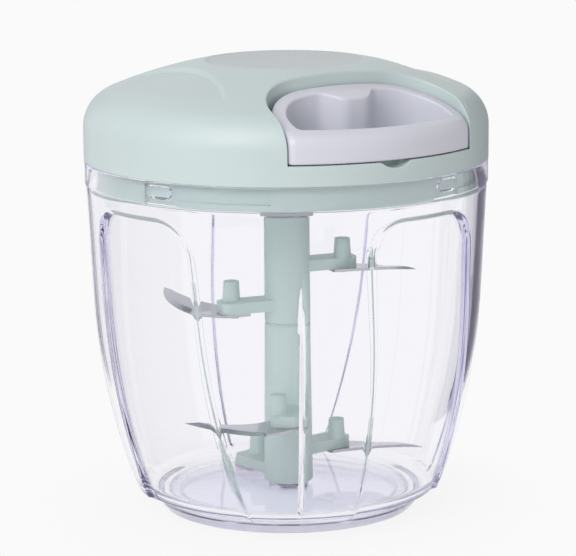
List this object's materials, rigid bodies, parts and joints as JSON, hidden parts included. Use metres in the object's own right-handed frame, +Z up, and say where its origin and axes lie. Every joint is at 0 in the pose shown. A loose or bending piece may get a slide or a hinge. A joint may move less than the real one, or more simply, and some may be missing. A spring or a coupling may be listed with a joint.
{
  "type": "pull-string food chopper",
  "caption": "Hand food chopper with a clear fluted bowl, a domed lid with a pull handle on a cord, and a column of curved blades that turns as the cord is pulled.",
  "frame": {"origin": "centre of the base, on the table", "axes": "+Z up along the blade column; the handle is pulled along -Y"},
  "size_m": [0.13, 0.13, 0.146],
  "materials": {
    "clear_plastic": "clear, moulded",
    "mint_plastic": "satin, moulded",
    "grey_plastic": "satin, moulded",
    "white_rubber": "soft, matt",
    "steel": "ground and polished",
    "cord": "braided"
  },
  "bodies": {
    "bowl": {"bowl": "clear_plastic", "pivot_pin": "steel", "foot_ring": "white_rubber"},
    "seal": {"lid_seal": "white_rubber"},
    "lid": {"lid_shell": "mint_plastic", "lid_base": "mint_plastic", "lid_screws": "steel", "reel_axle": "steel", "axle_screw": "steel", "axle_washer": "steel", "cord_eyelet": "white_rubber", "spiral_spring": "steel", "cord_lead": "cord"},
    "handle": {"pull_handle": "grey_plastic", "cord_stop": "steel"},
    "reel": {"cord_reel": "grey_plastic", "cord_winding": "cord", "spring_cover": "grey_plastic"},
    "drive": {"drive_hub": "grey_plastic"},
    "blades": {"lower_hub": "mint_plastic", "lower_blade_1": "steel", "lower_blade_2": "steel", "lower_blade_3": "steel", "lower_blade_pins": "steel", "upper_hub": "mint_plastic", "upper_blade_1": "steel", "upper_blade_2": "steel", "upper_blade_pins": "steel"}
  },
  "joints": [
    {"name": "lid_lift", "type": "slide", "parent": "bowl", "child": "seal", "axis": [0, 0, 1], "range_m": [0, 0.1]},
    {"name": "lid_twist", "type": "hinge", "parent": "seal", "child": "lid", "pos_m": [0, 0, 0.115], "axis": [0, 0, 1], "range_deg": [-28, 0]},
    {"name": "handle_pull", "type": "slide", "parent": "lid", "child": "handle", "axis": [0, -1, 0], "range_m": [0, 0.3], "stiffness_N_per_m": 15, "springref_m": -0.2, "deforming": ["cord_lead"]},
    {"name": "reel_spin", "type": "hinge", "parent": "lid", "child": "reel", "pos_m": [0, 0, 0.1275], "axis": [0, 0, 1], "range_deg": [-2, 1076.3], "deforming": ["spiral_spring"]},
    {"name": "drive_spin", "type": "hinge", "parent": "lid", "child": "drive", "pos_m": [0, 0, 0.113], "axis": [0, 0, 1], "range_deg": [-2, 1076.3]},
    {"name": "blade_spin", "type": "hinge", "parent": "bowl", "child": "blades", "pos_m": [0, 0, 0.02], "axis": [0, 0, 1], "range_deg": [-2, 1076.3]}
  ],
  "couplings": [
    {"joint": "reel_spin", "follows": "handle_pull", "rad_per_m": 62.5},
    {"joint": "drive_spin", "follows": "handle_pull", "rad_per_m": 62.5},
    {"joint": "blade_spin", "follows": "handle_pull", "rad_per_m": 62.5}
  ]
}
